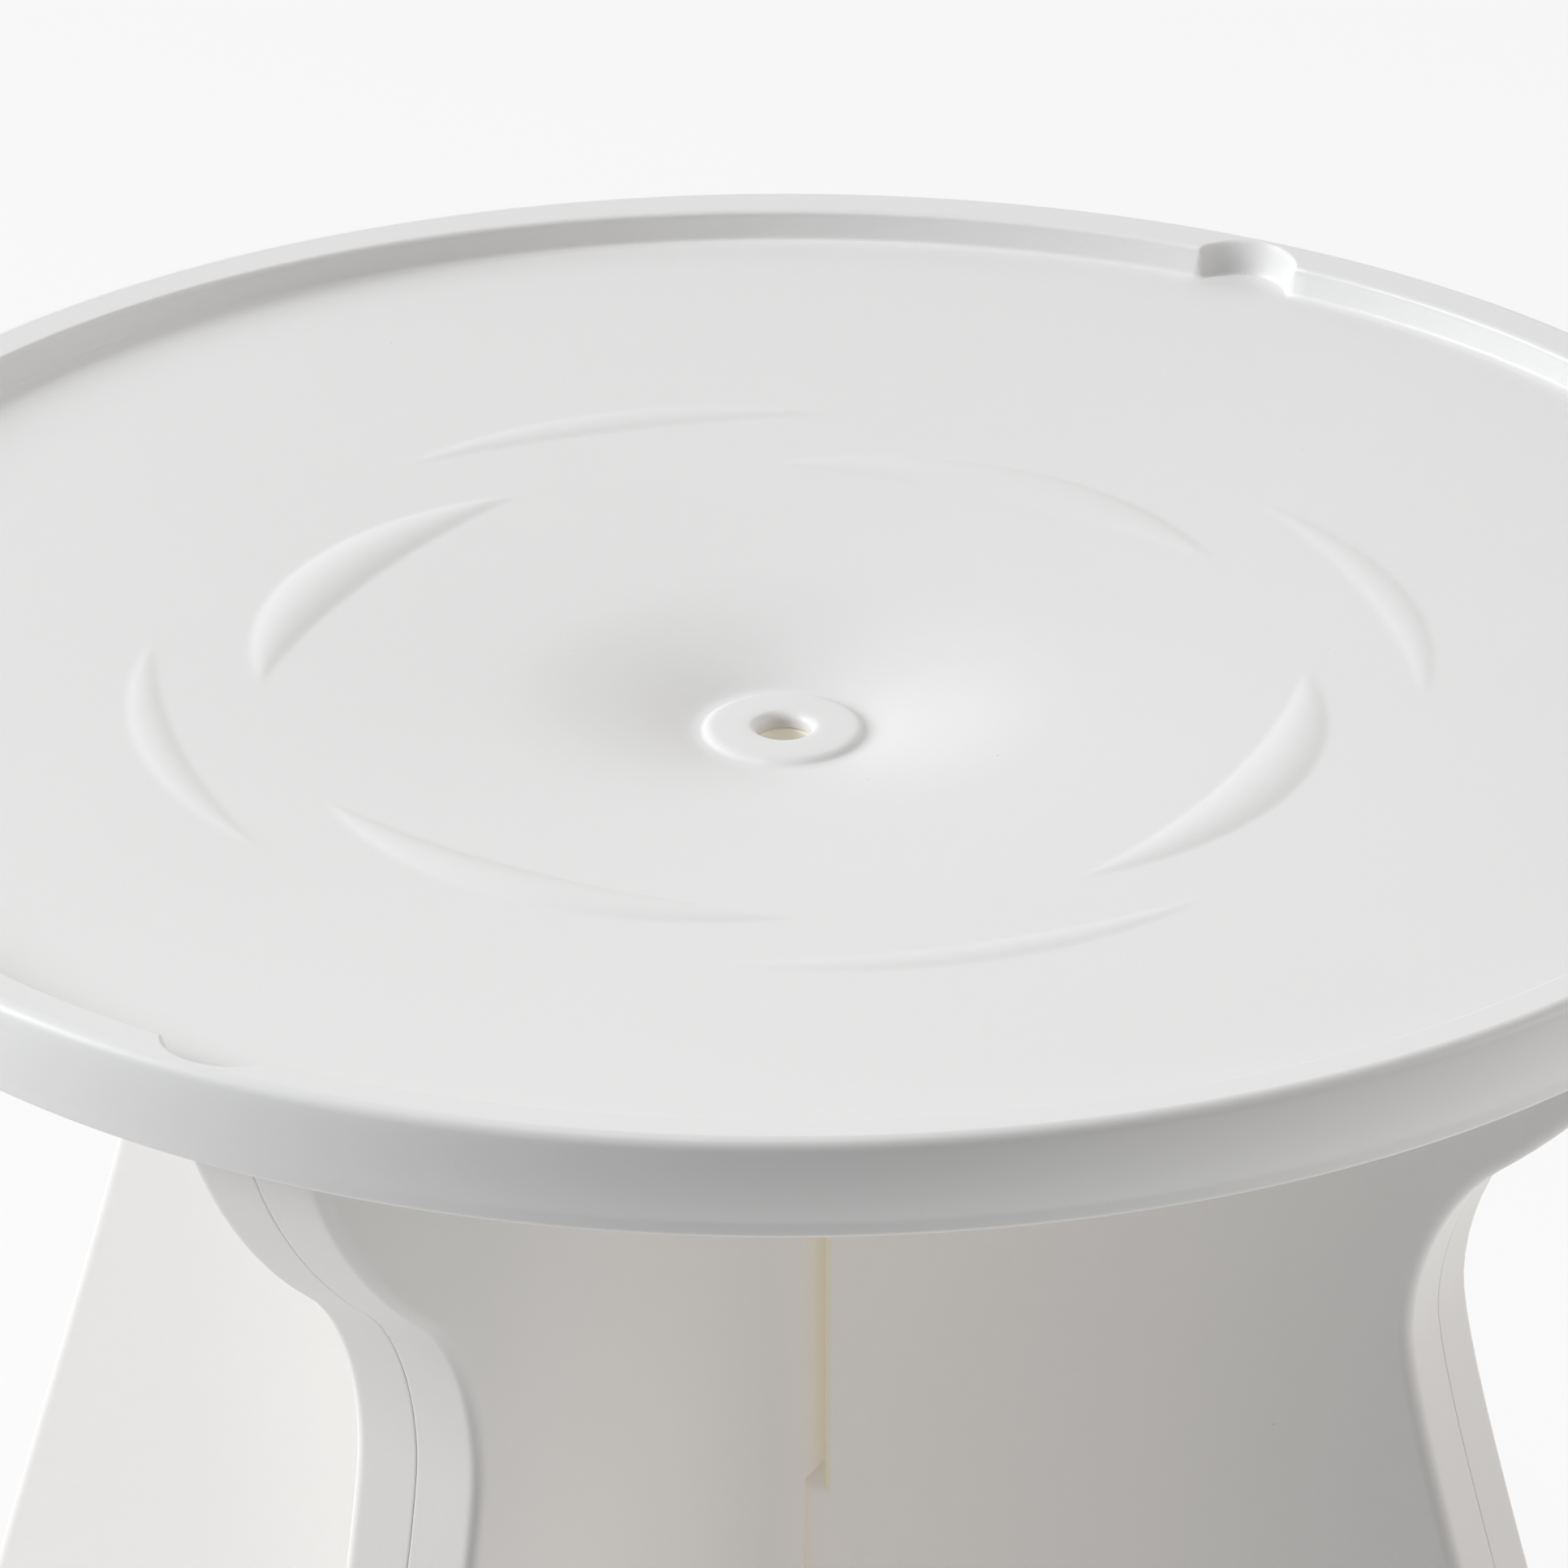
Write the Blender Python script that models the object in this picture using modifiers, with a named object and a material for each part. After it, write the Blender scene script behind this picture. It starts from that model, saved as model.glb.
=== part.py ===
"""Lazy susan turntable: a rimmed round platter that spins on a ball bearing, on a base of two
crossed hourglass panels. Metres, +Z up. The origin is on the spin axis, on the floor."""

import math

import bmesh
import bpy
from mathutils import Matrix, Vector

MM = 0.001

# Driving dimensions, in millimetres. A drop is a depth below the top of the rim, and a panel's
# outline is given as (distance from the spin axis, drop), with the pulls of its curves between.
PLATTER_RADIUS = 200.0
HEIGHT = 320.0
WALL = 3.0
GAP = 0.3

RIM_TOP_WIDTH = 8.8
RIM_TOP_DROP = 0.7
RIM_OUTER_ROUND = (1.6, 0.5, 0.9)
FLOOR_RADIUS = 189.6
FLOOR_EDGE_DROP = 6.6
FLOOR_FALL = 0.075
SKIRT_DROP = 20.2
SKIRT_TAPER = 3.4
NOTCH_RADIUS = 10.8
NOTCH_REACH = 196.4
NOTCH_ANGLES = (61.0, 241.0)

DIMPLE_RADIUS = 54.0
DIMPLE_DROP = 24.6
COLLAR_RADIUS = 16.0
COLLAR_DROP = 23.2
CENTRE_HOLE_RADIUS = 5.0

# Each ring of raised ridges: angle of the first, half span in degrees, radius, half width.
RIDGE_RINGS = ((62.0, 30.0, 95.0, 6.5), (16.5, 23.0, 116.0, 3.8))
RIDGE_HEIGHT = 1.2

BOSS_RADII = (84.0, 116.0)
BOSS_DROP = 20.0

BALL_COUNT = 12
BALL_RADIUS = 4.0
BALL_RING_RADIUS = 98.0
RACE_RADII = (90.0, 115.0)
RACE_THICKNESS = 2.0
CAGE_RADII = (91.0, 105.0)
CAGE_THICKNESS = 2.0
POCKET_RADIUS = 4.4
BALL_SINK = 0.7

HUB_RADIUS = 118.0
HUB_THICKNESS = 5.0
HUB_HOLE_RADIUS = 10.0
HUB_RIB_REACH = 112.0
HUB_RIB_DEPTH = 17.5
SPINDLE_RADIUS = 9.2
WASHER_RADIUS = 15.0
WASHER_THICKNESS = 1.5
CLIP_RADIUS = 12.5
CLIP_THICKNESS = 1.2
CLIP_GROOVE_DEPTH = 1.2
SPINDLE_TAIL = 1.5
SPINDLE_CHAMFER = 0.6

PANEL_ANGLE = 61.5
PANEL_THICKNESS = 26.0
PANEL_EDGE_RADIUS = 2.4
PANEL_TOP_RADIUS = 188.0
PANEL_TOP_DROPS = (13.5, 17.5)
SHOULDER = (149.5, 71.0)
WAIST = (133.8, 107.0)
SHOULDER_PULLS = ((183.0, 37.0), (164.5, 58.5), (140.5, 78.5))
WAIST_PULLS = (93.0, 128.0)
FOOT_PULL = (173.0, 233.0)
FOOT_RADIUS = 196.0
SADDLE_RADIUS = 119.5
LAP_DROP = 173.0
UPPER_SLOT_GAP = 2.0
LOWER_SLOT_GAPS = (0.8, 6.0)
SPINDLE_POCKET = (17.0, 10.0)
POSTS = ((150.0, 36.0), (112.0, 150.0), (168.0, 290.0))
POST_RADIUS = 5.0

PAD_SIZE = (38.0, 15.0, 3.0)
PAD_RADIUS = 172.0

SCREW_SHANK_RADIUS = 2.0
SCREW_HOLE_RADIUS = 2.3
SCREW_HEAD_RADIUS = 3.6
SCREW_HEAD_HEIGHT = 2.2
RACE_SCREW_RADIUS = 109.3
RACE_SCREW_LENGTH = 6.5
RACE_SCREW_ANGLES = (16.5, 106.5, 196.5, 286.5)
HUB_SCREW_LENGTH = 10.0
HUB_SCREW_RADIUS = 95.0
HUB_SCREW_DEPTH = 10.0

# Levels of the stack under the platter, each a drop in millimetres.
UPPER_RACE_DROP = BOSS_DROP + GAP
UPPER_RACE_FACE = UPPER_RACE_DROP + RACE_THICKNESS
BALL_DROP = UPPER_RACE_FACE + BALL_RADIUS - BALL_SINK
LOWER_RACE_FACE = 2 * BALL_DROP - UPPER_RACE_FACE
LOWER_RACE_DROP = LOWER_RACE_FACE + RACE_THICKNESS
HUB_DROP = LOWER_RACE_DROP + GAP
HUB_UNDERSIDE = HUB_DROP + HUB_THICKNESS
SADDLE_DROP = HUB_UNDERSIDE + GAP
HUB_SCREW_DROP = HUB_UNDERSIDE + HUB_SCREW_DEPTH
WASHER_DROP = HUB_UNDERSIDE + GAP
CLIP_DROP = WASHER_DROP + WASHER_THICKNESS + GAP
PANEL_FOOT_DROP = HEIGHT - PAD_SIZE[2] - GAP

PLATTER_STEPS = 60
RING_STEPS = 48
SMALL_RING_STEPS = 20
SCREW_STEPS = 10
POST_STEPS = 8
POCKET_STEPS = 16
NOTCH_STEPS = 24

parts = None
cutters = None


def height(drop):
    """World Z, in millimetres, of a level given as a drop below the rim's top."""
    return HEIGHT - drop


def on_circle(radius, degrees):
    """Point of a circle about the spin axis, in millimetres."""
    angle = math.radians(degrees)
    return radius * math.cos(angle), radius * math.sin(angle)


def start_scene():
    """Clears the scene and makes a collection for the parts and one for the cutters."""
    global parts, cutters
    for obj in list(bpy.data.objects):
        bpy.data.objects.remove(obj, do_unlink=True)
    parts = bpy.data.collections.new("lazy_susan")
    cutters = bpy.data.collections.new("cutters")
    for collection in (parts, cutters):
        bpy.context.scene.collection.children.link(collection)


def make_material(name, colour, roughness, metallic=0.0):
    material = bpy.data.materials.new(name)
    material.use_nodes = True
    shader = material.node_tree.nodes["Principled BSDF"]
    shader.inputs["Base Color"].default_value = (*colour, 1.0)
    shader.inputs["Roughness"].default_value = roughness
    shader.inputs["Metallic"].default_value = metallic
    return material


def add_object(name, mesh, material=None):
    """A part when it has a material, otherwise a cutter."""
    obj = bpy.data.objects.new(name, mesh)
    (parts if material else cutters).objects.link(obj)
    if material:
        mesh.materials.append(material)
    else:
        obj.hide_render = True
        obj.display_type = "WIRE"
    return obj


def mesh_from(name, bm):
    mesh = bpy.data.meshes.new(name)
    bmesh.ops.recalc_face_normals(bm, faces=bm.faces)
    bm.to_mesh(mesh)
    bm.free()
    return mesh


def turned(name, profile, steps, material=None, closed=True):
    """Turns a profile of (radius, height) points about Z. The outer side runs top to bottom."""
    mesh = bpy.data.meshes.new(name)
    corners = [(radius * MM, 0.0, level * MM) for radius, level in profile]
    edges = [(i, i + 1) for i in range(len(corners) - 1)]
    if closed:
        edges.append((len(corners) - 1, 0))
    mesh.from_pydata(corners, edges, [])
    obj = add_object(name, mesh, material)
    screw = obj.modifiers.new("Turn", "SCREW")
    screw.angle = math.tau
    screw.steps = screw.render_steps = steps
    screw.use_merge_vertices = not closed
    screw.merge_threshold = 0.00001
    screw.use_smooth_shade = True
    return obj


def cylinder(name, radius, z_range, centre, sides=SCREW_STEPS):
    """An upright cutter."""
    bm = bmesh.new()
    low, high = z_range
    place = Matrix.Translation((centre[0] * MM, centre[1] * MM, (low + high) / 2 * MM))
    bmesh.ops.create_cone(
        bm, cap_ends=True, segments=sides, depth=(high - low) * MM,
        radius1=radius * MM, radius2=radius * MM, matrix=place,
    )
    return add_object(name, mesh_from(name, bm))


def box(name, size, centre, degrees=0.0, material=None, edge=0.0):
    """A box turned about the spin axis, with its upright edges rounded when edge isn't zero."""
    bm = bmesh.new()
    turn = Matrix.Rotation(math.radians(degrees), 4, "Z")
    place = Matrix.Translation(Vector(centre) * MM)
    bmesh.ops.create_cube(bm, size=1.0, matrix=turn @ place @ Matrix.Diagonal((*(s * MM for s in size), 1.0)))
    if edge:
        upright = [e for e in bm.edges if abs(e.verts[0].co.z - e.verts[1].co.z) > size[2] * MM / 2]
        bmesh.ops.bevel(bm, geom=upright, offset=edge * MM, segments=3, profile=0.5, affect="EDGES")
    return add_object(name, mesh_from(name, bm), material)


def boolean(obj, cutter, operation="DIFFERENCE"):
    modifier = obj.modifiers.new(cutter.name, "BOOLEAN")
    modifier.operation = operation
    modifier.solver = "EXACT"
    modifier.object = cutter


def arc(centre, radius, start, end, count):
    """Points of an arc in the (radius, height) plane, by angle in degrees."""
    found = []
    for i in range(count + 1):
        angle = math.radians(start + (end - start) * i / count)
        found.append((centre[0] + radius * math.cos(angle), centre[1] + radius * math.sin(angle)))
    return found


def bezier(start, start_handle, end_handle, end, count):
    """Points of a cubic curve, without its last one."""
    found = []
    for i in range(count):
        t = i / count
        weights = ((1 - t) ** 3, 3 * t * (1 - t) ** 2, 3 * t * t * (1 - t), t ** 3)
        ends = (start, start_handle, end_handle, end)
        found.append(tuple(sum(w * p[axis] for w, p in zip(weights, ends)) for axis in (0, 1)))
    return found


def floor_drop(radius):
    """Drop of the platter's dished floor, outside the dimple."""
    return FLOOR_EDGE_DROP + (FLOOR_RADIUS - radius) * FLOOR_FALL


def dimple_drop(radius):
    """Drop of the smooth funnel between the floor and the foot of the collar, steepest at its foot."""
    extra = DIMPLE_DROP - floor_drop(COLLAR_RADIUS)
    t = (DIMPLE_RADIUS - radius) / (DIMPLE_RADIUS - COLLAR_RADIUS)
    return floor_drop(radius) + extra * t * t


def platter_profile():
    """Top surface from the hole outwards, down the skirt, and back under the floor."""
    collar_width = COLLAR_RADIUS - CENTRE_HOLE_RADIUS
    collar_rise = DIMPLE_DROP - COLLAR_DROP
    top = [(CENTRE_HOLE_RADIUS, COLLAR_DROP + 0.9), (CENTRE_HOLE_RADIUS + 1.2, COLLAR_DROP + 0.1)]
    for i in range(1, 4):
        share = 0.35 + 0.65 * i / 3
        lift = collar_rise * math.cos(math.pi / 2 * (2 * share - 1) ** 2)
        top.append((CENTRE_HOLE_RADIUS + collar_width * share, DIMPLE_DROP - lift))
    for i in range(1, 7):
        radius = COLLAR_RADIUS + (DIMPLE_RADIUS - COLLAR_RADIUS) * i / 6
        top.append((radius, dimple_drop(radius)))
    top.append((FLOOR_RADIUS, FLOOR_EDGE_DROP))
    rim_inner = PLATTER_RADIUS - RIM_TOP_WIDTH
    top += [(rim_inner - 0.5, RIM_TOP_DROP + 0.9), (rim_inner + 0.3, RIM_TOP_DROP)]
    start, crest, corner = RIM_OUTER_ROUND
    edge = [(PLATTER_RADIUS - start, 0.1), (PLATTER_RADIUS - crest, 0.0), (PLATTER_RADIUS, corner)]
    lip_radius = PLATTER_RADIUS - SKIRT_TAPER
    skirt = [
        (lip_radius + 0.4, SKIRT_DROP - 1.6),
        (lip_radius - 0.4, SKIRT_DROP - 0.4),
        (lip_radius - 1.5, SKIRT_DROP),
        (lip_radius - WALL, SKIRT_DROP - 0.6),
        (PLATTER_RADIUS - WALL - 0.9, FLOOR_EDGE_DROP + WALL + 1.0),
        (PLATTER_RADIUS - WALL - 1.5, FLOOR_EDGE_DROP + WALL),
    ]
    inner, outer = BOSS_RADII
    under = [
        (FLOOR_RADIUS - 1.0, FLOOR_EDGE_DROP + WALL),
        (outer, floor_drop(outer) + WALL),
        (outer, BOSS_DROP),
        (inner, BOSS_DROP),
        (inner, floor_drop(inner) + WALL),
    ]
    for i in range(5):
        radius = DIMPLE_RADIUS - (DIMPLE_RADIUS - COLLAR_RADIUS) * i / 4
        under.append((radius, dimple_drop(radius) + WALL))
    socket = SPINDLE_RADIUS + GAP
    ceiling = COLLAR_DROP + WALL
    under += [(socket, DIMPLE_DROP + WALL), (socket, ceiling), (CENTRE_HOLE_RADIUS, ceiling)]
    return [(radius, height(drop)) for radius, drop in top + edge + skirt + under]


def ridge(name, middle, half_span, radius, half_width):
    """A low lens-shaped ridge along an arc of the floor: half sunk, so only its crown stands proud."""
    stations, sides = 8, 6
    bm = bmesh.new()
    rings = []
    for i in range(1, stations):
        along = 2 * i / stations - 1
        scale = 1 - along * along
        ring = []
        for j in range(sides):
            turn = math.tau * j / sides
            offset = half_width * scale * math.cos(turn)
            lift = RIDGE_HEIGHT * math.sqrt(scale) * math.sin(turn)
            x, y = on_circle(radius + offset, middle + half_span * along)
            ring.append(bm.verts.new((x * MM, y * MM, height(floor_drop(radius + offset) - lift) * MM)))
        rings.append(ring)
    for first, second in zip(rings, rings[1:]):
        for j in range(sides):
            after = (j + 1) % sides
            bm.faces.new((first[j], first[after], second[after], second[j]))
    for ring, side in ((rings[0], -1), (rings[-1], 1)):
        x, y = on_circle(radius, middle + half_span * side)
        tip = bm.verts.new((x * MM, y * MM, height(floor_drop(radius)) * MM))
        for j in range(sides):
            bm.faces.new((ring[j], ring[(j + 1) % sides], tip))
    return add_object(name, mesh_from(name, bm))


def make_platter(plastic, steel):
    platter = turned("platter", platter_profile(), PLATTER_STEPS, plastic)
    for number, degrees in enumerate(NOTCH_ANGLES, 1):
        centre = on_circle(NOTCH_REACH - NOTCH_RADIUS, degrees)
        levels = (height(FLOOR_EDGE_DROP + 0.2), height(-5.0))
        boolean(platter, cylinder(f"cut_notch_{number}", NOTCH_RADIUS, levels, centre, NOTCH_STEPS))
    for ring, (first, half_span, radius, half_width) in enumerate(RIDGE_RINGS, 1):
        for quarter in range(4):
            lens = ridge(f"add_ridge_{ring}_{quarter}", first + 90 * quarter, half_span, radius, half_width)
            boolean(platter, lens, "UNION")
    for number, degrees in enumerate(RACE_SCREW_ANGLES, 1):
        centre = on_circle(RACE_SCREW_RADIUS, degrees + 45)
        tip = UPPER_RACE_FACE - RACE_SCREW_LENGTH
        levels = (height(BOSS_DROP + 1.0), height(tip - 0.5))
        boolean(platter, cylinder(f"cut_boss_{number}", SCREW_HOLE_RADIUS, levels, centre))
        screw(f"upper_race_screw_{number}", RACE_SCREW_LENGTH, steel,
              Matrix.Translation((centre[0] * MM, centre[1] * MM, height(UPPER_RACE_FACE + GAP) * MM))
              @ Matrix.Rotation(math.pi, 4, "X"))


def make_spindle(nylon, steel, brass):
    """A hollow spindle under the platter's hole, held below the hub by a washer and a clip."""
    top = height(COLLAR_DROP + WALL + GAP)
    groove_top = height(CLIP_DROP - GAP)
    groove_bottom = height(CLIP_DROP + CLIP_THICKNESS + GAP)
    groove_radius = SPINDLE_RADIUS - CLIP_GROOVE_DEPTH
    foot = groove_bottom - SPINDLE_TAIL
    profile = [
        (CENTRE_HOLE_RADIUS, top), (SPINDLE_RADIUS, top),
        (SPINDLE_RADIUS, groove_top), (groove_radius, groove_top),
        (groove_radius, groove_bottom), (SPINDLE_RADIUS, groove_bottom),
        (SPINDLE_RADIUS, foot), (SPINDLE_RADIUS - SPINDLE_CHAMFER, foot - SPINDLE_CHAMFER),
        (CENTRE_HOLE_RADIUS, foot - SPINDLE_CHAMFER),
    ]
    turned("spindle", profile, SMALL_RING_STEPS, nylon)
    flat_ring("thrust_washer", (SPINDLE_RADIUS + GAP, WASHER_RADIUS), WASHER_DROP, WASHER_THICKNESS, brass)
    flat_ring("spindle_clip", (groove_radius + GAP, CLIP_RADIUS), CLIP_DROP, CLIP_THICKNESS, steel)


def flat_ring(name, radii, drop, thickness, material, steps=SMALL_RING_STEPS):
    inner, outer = radii
    top, bottom = height(drop), height(drop + thickness)
    profile = [(inner, top), (outer, top), (outer, bottom), (inner, bottom)]
    return turned(name, profile, steps, material)


def screw(name, length, material, place):
    """A pan-head screw, head up, with the underside of its head at the origin of place."""
    head, rise = SCREW_HEAD_RADIUS, SCREW_HEAD_HEIGHT
    profile = [
        (0.0, rise), (head * 0.6, rise * 0.93), (head, rise * 0.45), (head, 0.0),
        (SCREW_SHANK_RADIUS, 0.0), (SCREW_SHANK_RADIUS, 1.0 - length), (0.0, -length),
    ]
    obj = turned(name, profile, SCREW_STEPS, material, closed=False)
    obj.matrix_world = place
    return obj


def race_profile(face_drop, back_drop):
    """A flat ring with a ball groove in the face that looks at the balls."""
    inner, outer = RACE_RADII
    rise = abs(face_drop - BALL_DROP)
    groove = BALL_RADIUS + GAP
    half_angle = math.degrees(math.acos(rise / groove))
    centre = (BALL_RING_RADIUS, height(BALL_DROP))
    if face_drop < BALL_DROP:
        track = arc(centre, groove, 90 - half_angle, 90 + half_angle, 6)
        face = [(outer, height(face_drop))] + track + [(inner, height(face_drop))]
        return [(inner, height(back_drop)), (outer, height(back_drop))] + face
    track = arc(centre, groove, 270 - half_angle, 270 + half_angle, 6)
    face = [(inner, height(face_drop))] + track + [(outer, height(face_drop))]
    return face + [(outer, height(back_drop)), (inner, height(back_drop))]


def make_bearing(steel, nylon):
    upper = turned("upper_race", race_profile(UPPER_RACE_FACE, UPPER_RACE_DROP), RING_STEPS, steel)
    lower = turned("lower_race", race_profile(LOWER_RACE_FACE, LOWER_RACE_DROP), RING_STEPS, steel)
    for race, turn, drop in ((upper, 45.0, UPPER_RACE_DROP), (lower, 0.0, LOWER_RACE_DROP)):
        for number, degrees in enumerate(RACE_SCREW_ANGLES, 1):
            centre = on_circle(RACE_SCREW_RADIUS, degrees + turn)
            levels = (height(drop + 4.0), height(drop - 4.0))
            hole = cylinder(f"cut_{race.name}_{number}", SCREW_HOLE_RADIUS, levels, centre)
            boolean(race, hole)
    top = BALL_DROP - CAGE_THICKNESS / 2
    cage = flat_ring("ball_cage", CAGE_RADII, top, CAGE_THICKNESS, nylon, RING_STEPS)
    ball_mesh = None
    for number in range(1, BALL_COUNT + 1):
        x, y = on_circle(BALL_RING_RADIUS, 360 * number / BALL_COUNT)
        levels = (height(BALL_DROP + 3.0), height(BALL_DROP - 3.0))
        boolean(cage, cylinder(f"cut_pocket_{number:02d}", POCKET_RADIUS, levels, (x, y), POCKET_STEPS))
        if not ball_mesh:
            bm = bmesh.new()
            bmesh.ops.create_uvsphere(bm, u_segments=10, v_segments=6, radius=BALL_RADIUS * MM)
            ball_mesh = mesh_from("bearing_ball", bm)
            ball_mesh.materials.append(steel)
            ball_mesh.shade_smooth()
        ball = bpy.data.objects.new(f"bearing_ball_{number:02d}", ball_mesh)
        parts.objects.link(ball)
        ball.location = (x * MM, y * MM, height(BALL_DROP) * MM)


def make_hub(plastic, steel):
    """A disc that carries the lower race, with ribs below that grip the crossed panels."""
    hub = flat_ring("hub_plate", (HUB_HOLE_RADIUS, HUB_RADIUS), HUB_DROP, HUB_THICKNESS, plastic, RING_STEPS)
    for number, degrees in enumerate(RACE_SCREW_ANGLES, 1):
        x, y = on_circle(RACE_SCREW_RADIUS, degrees)
        levels = (height(HUB_UNDERSIDE + 2.0), height(HUB_DROP - 2.0))
        boolean(hub, cylinder(f"cut_hub_{number}", SCREW_HOLE_RADIUS, levels, (x, y)))
        place = Matrix.Translation((x * MM, y * MM, height(LOWER_RACE_FACE - GAP) * MM))
        screw(f"lower_race_screw_{number}", RACE_SCREW_LENGTH, steel, place)
    rib_inner = PANEL_THICKNESS / 2 + GAP
    rib_length = HUB_RIB_REACH - rib_inner
    middle = (HUB_DROP + 2.0 + HUB_UNDERSIDE + HUB_RIB_DEPTH) / 2
    depth = HUB_UNDERSIDE + HUB_RIB_DEPTH - HUB_DROP - 2.0
    for quarter in range(4):
        degrees = PANEL_ANGLE + 90 * quarter
        for side in (-1, 1):
            centre = (rib_inner + rib_length / 2, side * (rib_inner + WALL / 2), height(middle))
            name = f"add_rib_{quarter}_{'left' if side > 0 else 'right'}"
            boolean(hub, box(name, (rib_length, WALL, depth), centre, degrees), "UNION")
        turn = Matrix.Rotation(math.radians(degrees), 4, "Z")
        head_side = rib_inner + WALL + GAP
        seat = Vector((HUB_SCREW_RADIUS, head_side, height(HUB_SCREW_DROP))) * MM
        place = turn @ Matrix.Translation(seat) @ Matrix.Rotation(-math.pi / 2, 4, "X")
        boolean(hub, hub_screw_hole(f"cut_rib_{quarter}", turn))
        screw(f"hub_screw_{quarter + 1}", HUB_SCREW_LENGTH, steel, place)


def hub_screw_hole(name, turn):
    """A level hole through a hub rib and the wall of the panel behind it."""
    bm = bmesh.new()
    seat = Vector((HUB_SCREW_RADIUS, PANEL_THICKNESS / 2, height(HUB_SCREW_DROP))) * MM
    place = turn @ Matrix.Translation(seat) @ Matrix.Rotation(math.pi / 2, 4, "X")
    bmesh.ops.create_cone(
        bm, cap_ends=True, segments=SCREW_STEPS, depth=4 * WALL * MM,
        radius1=SCREW_HOLE_RADIUS * MM, radius2=SCREW_HOLE_RADIUS * MM, matrix=place,
    )
    return add_object(name, mesh_from(name, bm))


def panel_side():
    """Outer edge of a panel as (radius, drop), from its top corner down to its foot."""
    top_corner = (PANEL_TOP_RADIUS, PANEL_TOP_DROPS[0])
    foot = (FOOT_RADIUS, PANEL_FOOT_DROP)
    above, before, after = SHOULDER_PULLS
    side = bezier(top_corner, above, before, SHOULDER, 4)
    side += bezier(SHOULDER, after, (WAIST[0], WAIST_PULLS[0]), WAIST, 3)
    side += bezier(WAIST, (WAIST[0], WAIST_PULLS[1]), FOOT_PULL, foot, 5)
    return side + [foot]


def panel_outline(slot_from_top):
    """Half of a panel's outline, from the middle of its top round to the middle of its foot."""
    pocket_radius, pocket_depth = SPINDLE_POCKET
    pocket_floor = SADDLE_DROP + pocket_depth
    outer = [(SADDLE_RADIUS, SADDLE_DROP), (SADDLE_RADIUS, PANEL_TOP_DROPS[1])] + panel_side()
    pocket = [(pocket_radius, pocket_floor), (pocket_radius, SADDLE_DROP)]
    if slot_from_top:
        slot = PANEL_THICKNESS / 2 + UPPER_SLOT_GAP
        slot_sides = [(0.0, LAP_DROP), (slot, LAP_DROP), (slot, pocket_floor)]
        return slot_sides + pocket + outer + [(0.0, PANEL_FOOT_DROP)]
    narrow, wide = (PANEL_THICKNESS / 2 + gap for gap in LOWER_SLOT_GAPS)
    lap = LAP_DROP - GAP
    return [(0.0, pocket_floor)] + pocket + outer + [(wide, PANEL_FOOT_DROP), (narrow, lap), (0.0, lap)]


def make_panel_half(name, slot_from_top, degrees, side, plastic):
    """One moulded half of a panel: a tray-like shell, open towards the panel's middle plane."""
    half = panel_outline(slot_from_top)
    outline = half + [(-x, drop) for x, drop in reversed(half) if x > 0]
    bm = bmesh.new()
    outer_y, open_y = side * PANEL_THICKNESS / 2, side * GAP / 2
    face = bm.faces.new([bm.verts.new((x * MM, outer_y * MM, height(drop) * MM)) for x, drop in outline])
    rim = list(face.edges)
    skirt = bmesh.ops.extrude_edge_only(bm, edges=rim)
    for vert in (item for item in skirt["geom"] if isinstance(item, bmesh.types.BMVert)):
        vert.co.y = open_y * MM
    bmesh.ops.bevel(
        bm, geom=rim, offset=PANEL_EDGE_RADIUS * MM, segments=2, profile=0.5,
        affect="EDGES", clamp_overlap=True,
    )
    outward = Vector((0.0, side, 0.0))
    bmesh.ops.recalc_face_normals(bm, faces=bm.faces)
    largest = max(bm.faces, key=lambda item: item.calc_area())
    if largest.normal.dot(outward) < 0:
        bmesh.ops.reverse_faces(bm, faces=bm.faces)
    mesh = bpy.data.meshes.new(name)
    bm.to_mesh(mesh)
    bm.free()
    obj = add_object(name, mesh, plastic)
    shell = obj.modifiers.new("Wall", "SOLIDIFY")
    shell.thickness = WALL * MM
    shell.offset = -1.0
    shell.use_even_offset = True
    turn = Matrix.Rotation(math.radians(degrees), 4, "Z")
    obj.matrix_world = turn
    add_posts(obj, side, turn)
    flip = 0.0 if side > 0 else math.pi
    boolean(obj, hub_screw_hole(f"cut_{name}", turn @ Matrix.Rotation(flip, 4, "Z")))
    return obj


def add_posts(panel, side, turn):
    """Posts inside the shell that meet those of the other half, where the two are joined."""
    for number, (radius, drop) in enumerate(POSTS):
        for end in (-1, 1):
            bm = bmesh.new()
            wall_face = PANEL_THICKNESS / 2 - WALL + 1.0
            middle = Vector((end * radius, side * (GAP / 2 + wall_face) / 2, height(drop))) * MM
            place = turn @ Matrix.Translation(middle) @ Matrix.Rotation(math.pi / 2, 4, "X")
            bmesh.ops.create_cone(
                bm, cap_ends=True, segments=POST_STEPS, depth=(wall_face - GAP / 2) * MM,
                radius1=POST_RADIUS * MM, radius2=POST_RADIUS * MM, matrix=place,
            )
            name = f"add_{panel.name}_post_{number}_{'far' if end > 0 else 'near'}"
            boolean(panel, add_object(name, mesh_from(name, bm)), "UNION")


def make_base(plastic, rubber):
    panels = (("long_panel", False, PANEL_ANGLE), ("cross_panel", True, PANEL_ANGLE + 90))
    for panel, slot_from_top, degrees in panels:
        for half, side in (("left", 1), ("right", -1)):
            make_panel_half(f"{panel}_{half}_shell", slot_from_top, degrees, side, plastic)
    length, width, thickness = PAD_SIZE
    for quarter in range(4):
        centre = (PAD_RADIUS, 0.0, thickness / 2)
        degrees = PANEL_ANGLE + 90 * quarter
        box(f"foot_pad_{quarter + 1}", (length, width, thickness), centre, degrees, rubber, edge=5.0)


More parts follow.
